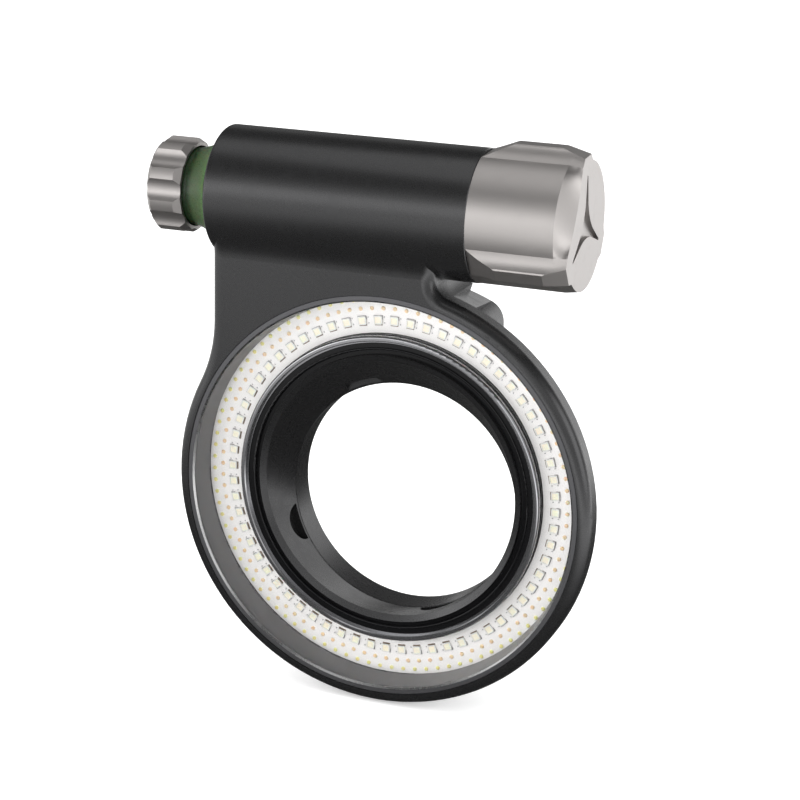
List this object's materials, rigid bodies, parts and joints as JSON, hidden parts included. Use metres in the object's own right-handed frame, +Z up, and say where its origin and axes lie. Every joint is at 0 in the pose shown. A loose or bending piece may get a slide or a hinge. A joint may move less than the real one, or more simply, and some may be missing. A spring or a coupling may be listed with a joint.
{
  "type": "underwater ring light",
  "caption": "Round LED ring light for a dive camera's lens port, with a battery barrel above it, a screw cap, a control knob and a rear lens thread.",
  "frame": {"origin": "centre of the rear lens thread's seat, on the lens axis", "axes": "+Y rearwards along the lens thread's axis, towards the camera; -Y is where the light shines; +X towards the battery cap; +Z up, towards the battery barrel"},
  "size_m": [0.127, 0.0367, 0.1566],
  "materials": {
    "anodised_black": "satin black anodised",
    "retainer_grey": "satin grey anodised",
    "bezel_black": "gloss black anodised",
    "titanium_grey": "satin titanium-grey anodised",
    "window_glass": "clear polished",
    "collar_green": "translucent green",
    "board_white": "white solder mask",
    "led_spot": "pale phosphor in a clear case",
    "led_warm": "warm phosphor",
    "led_flood": "pale yellow phosphor",
    "seal_rubber": "black rubber",
    "pad_grey": "grey heat-conducting rubber",
    "stainless": "plain stainless steel",
    "contact_brass": "gold-plated brass",
    "circuit_green": "green circuit board",
    "component_black": "moulded black",
    "wire_red": "red insulation",
    "cell_wrap": "shrink-wrapped cell",
    "liner_white": "natural moulded plastic"
  },
  "bodies": {
    "light_body": {"housing": "anodised_black", "retaining_ring": "retainer_grey", "ring_window": "window_glass", "window_seal_outer": "seal_rubber", "window_seal_inner": "seal_rubber", "inner_bezel": "bezel_black", "led_board": "board_white", "thermal_pad": "pad_grey", "leds_spot": "led_spot", "leds_warm": "led_warm", "leds_flood": "led_flood", "lens_adapter": "anodised_black", "adapter_screws": "stainless", "feed_wires": "wire_red", "wire_grommet": "seal_rubber", "battery_liner": "liner_white", "battery_cell": "cell_wrap", "positive_contact": "contact_brass", "driver_board": "circuit_green", "driver_components": "component_black", "control_board": "circuit_green", "control_components": "component_black", "board_standoffs": "stainless", "rotary_encoder": "component_black", "push_switch": "stainless", "control_gland": "anodised_black", "gland_nut": "stainless", "gland_seals": "seal_rubber", "indicator_collar": "collar_green", "collar_seal": "seal_rubber", "indicator_board": "circuit_green", "indicator_leds": "led_spot", "knob_spring": "stainless"},
    "push_stem": {"control_shaft": "stainless", "shaft_seals": "seal_rubber", "shaft_clip": "stainless"},
    "control_dial": {"control_knob": "titanium_grey", "knob_set_screw": "stainless"},
    "cap_contacts": {"cap_contact_plate": "contact_brass", "cap_contact_spring": "stainless"},
    "screw_cap": {"battery_cap": "titanium_grey", "cap_seals": "seal_rubber"}
  },
  "joints": [
    {"name": "knob_push", "type": "slide", "parent": "light_body", "child": "push_stem", "axis": [1, 0, 0], "range_m": [0, 0.001], "stiffness_N_per_m": 900, "springref_m": -0.0015, "deforming": ["knob_spring"]},
    {"name": "knob_turn", "type": "hinge", "parent": "push_stem", "child": "control_dial", "pos_m": [-0.063, -0.0137, 0.0831], "axis": [1, 0, 0], "continuous": true},
    {"name": "cap_travel", "type": "slide", "parent": "light_body", "child": "cap_contacts", "axis": [1, 0, 0], "range_m": [0, 0.00675]},
    {"name": "cap_turn", "type": "hinge", "parent": "cap_contacts", "child": "screw_cap", "pos_m": [0.037, -0.0137, 0.0831], "axis": [1, 0, 0], "range_deg": [0, 1620]}
  ],
  "couplings": [
    {"joint": "cap_travel", "follows": "cap_turn", "m_per_rad": 0.00023873}
  ]
}
